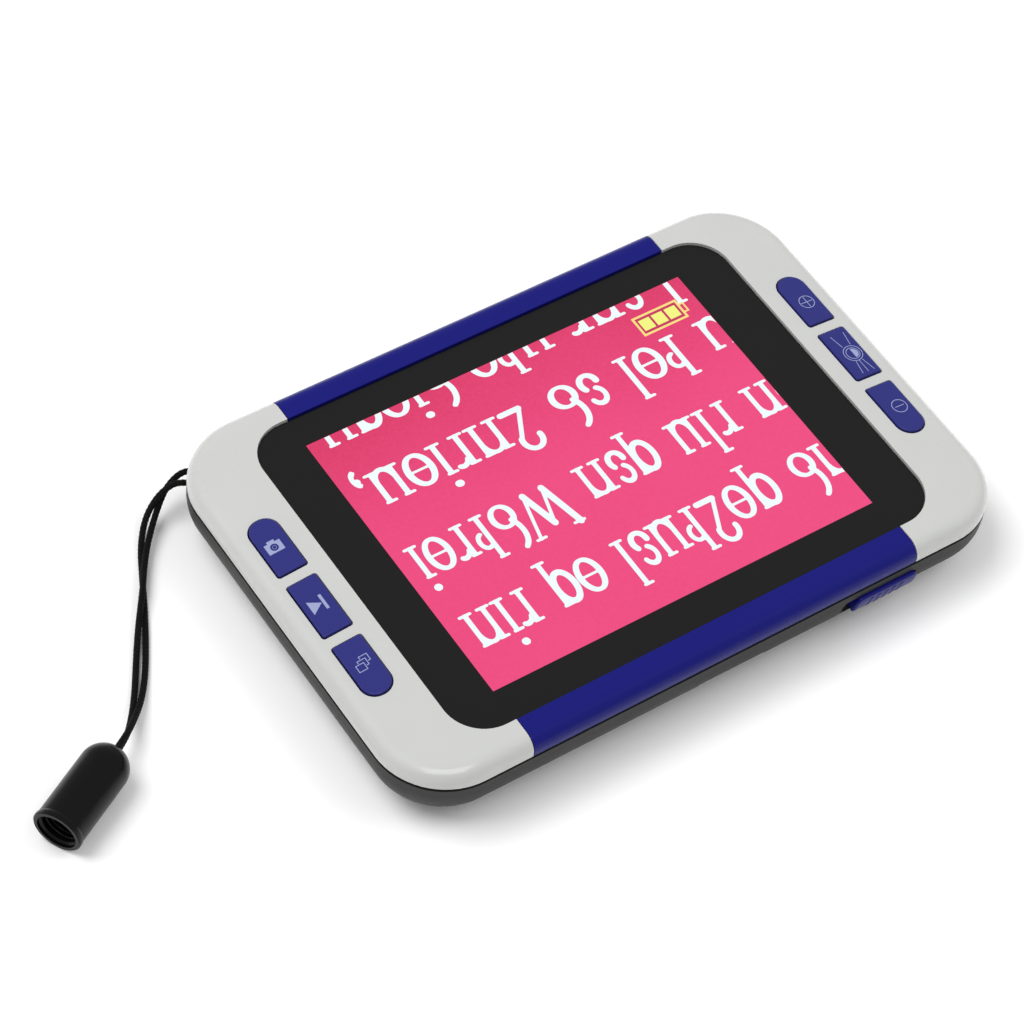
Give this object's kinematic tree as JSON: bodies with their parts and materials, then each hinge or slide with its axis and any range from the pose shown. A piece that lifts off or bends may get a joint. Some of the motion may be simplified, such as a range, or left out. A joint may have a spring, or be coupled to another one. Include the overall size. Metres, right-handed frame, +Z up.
{
  "type": "low vision magnifier",
  "caption": "Hand-held electronic magnifier: wide flat case with a screen, three keys under each thumb, a camera with lamps in the back, a power slide knob and a corded screw cap.",
  "frame": {"origin": "middle of the case's footprint, at the soles of the rubber feet", "axes": "+X along the long side to the viewer's right, +Y away from the viewer across the screen, +Z up out of the screen"},
  "size_m": [0.2271, 0.1086, 0.0198],
  "materials": {
    "shell_white": "gloss",
    "trim_blue": "gloss",
    "key_blue": "gloss",
    "body_grey": "satin",
    "black_plastic": "satin",
    "window": "gloss",
    "display": "gloss",
    "white_plastic": "satin",
    "silicone": "matte",
    "rubber": "matte",
    "foam": "matte",
    "board_green": "satin",
    "ribbon": "satin",
    "steel": "brushed",
    "dark_steel": "satin",
    "battery_wrap": "satin",
    "lamp": "gloss",
    "clear": "gloss",
    "cord_black": "matte"
  },
  "bodies": {
    "case": {"battery": "battery_wrap", "battery_tape": "foam", "board_chips": "black_plastic", "board_screws": "steel", "buzzer": "black_plastic", "camera_board": "board_green", "camera_lens": "clear", "camera_plug": "white_plastic", "camera_window": "clear", "case_screws": "dark_steel", "display_backlight": "white_plastic", "display_cell": "display", "display_lens": "window", "display_ribbon": "ribbon", "front_shell": "shell_white", "key_board_left": "board_green", "key_board_right": "board_green", "key_board_screws": "steel", "key_pad_left": "silicone", "key_pad_right": "silicone", "key_ribbon_left": "ribbon", "key_ribbon_right": "ribbon", "lanyard_bight": "cord_black", "lanyard_cap": "black_plastic", "lanyard_knot": "cord_black", "lanyard_post": "dark_steel", "lanyard_strand_a": "cord_black", "lanyard_strand_b": "cord_black", "led_board": "board_green", "leds": "lamp", "lens_barrel": "black_plastic", "lens_gasket": "foam", "lens_holder": "black_plastic", "main_board": "board_green", "rear_shell": "body_grey", "ribbon_connector": "white_plastic", "rubber_feet": "rubber", "shield_can": "steel", "slide_switch": "steel", "trim_front": "trim_blue", "trim_rear": "trim_blue", "usb_socket": "steel", "video_jack": "black_plastic"},
    "snapshot_press": {"snapshot_key": "key_blue"},
    "playback_press": {"playback_key": "key_blue"},
    "mode_press": {"mode_key": "key_blue"},
    "zoom_in_press": {"zoom_in_key": "key_blue"},
    "light_press": {"light_key": "key_blue"},
    "zoom_out_press": {"zoom_out_key": "key_blue"},
    "power_knob": {"power_slider": "trim_blue", "switch_lever": "black_plastic"}
  },
  "joints": [
    {"name": "snapshot_push", "type": "slide", "parent": "case", "child": "snapshot_press", "axis": [0.0958, 0, -0.9954], "range_m": [0, 0.0005], "stiffness_N_per_m": 1000, "springref_m": -0.0005, "deforming": ["key_pad_left"]},
    {"name": "playback_push", "type": "slide", "parent": "case", "child": "playback_press", "axis": [0.0958, 0, -0.9954], "range_m": [0, 0.0005], "stiffness_N_per_m": 1000, "springref_m": -0.0005, "deforming": ["key_pad_left"]},
    {"name": "mode_push", "type": "slide", "parent": "case", "child": "mode_press", "axis": [0.0958, 0, -0.9954], "range_m": [0, 0.0005], "stiffness_N_per_m": 1000, "springref_m": -0.0005, "deforming": ["key_pad_left"]},
    {"name": "zoom_in_push", "type": "slide", "parent": "case", "child": "zoom_in_press", "axis": [-0.0958, 0, -0.9954], "range_m": [0, 0.0005], "stiffness_N_per_m": 1000, "springref_m": -0.0005, "deforming": ["key_pad_right"]},
    {"name": "light_push", "type": "slide", "parent": "case", "child": "light_press", "axis": [-0.0958, 0, -0.9954], "range_m": [0, 0.0005], "stiffness_N_per_m": 1000, "springref_m": -0.0005, "deforming": ["key_pad_right"]},
    {"name": "zoom_out_push", "type": "slide", "parent": "case", "child": "zoom_out_press", "axis": [-0.0958, 0, -0.9954], "range_m": [0, 0.0005], "stiffness_N_per_m": 1000, "springref_m": -0.0005, "deforming": ["key_pad_right"]},
    {"name": "power_slide", "type": "slide", "parent": "case", "child": "power_knob", "axis": [-1, 0, 0], "range_m": [0, 0.0033]}
  ]
}
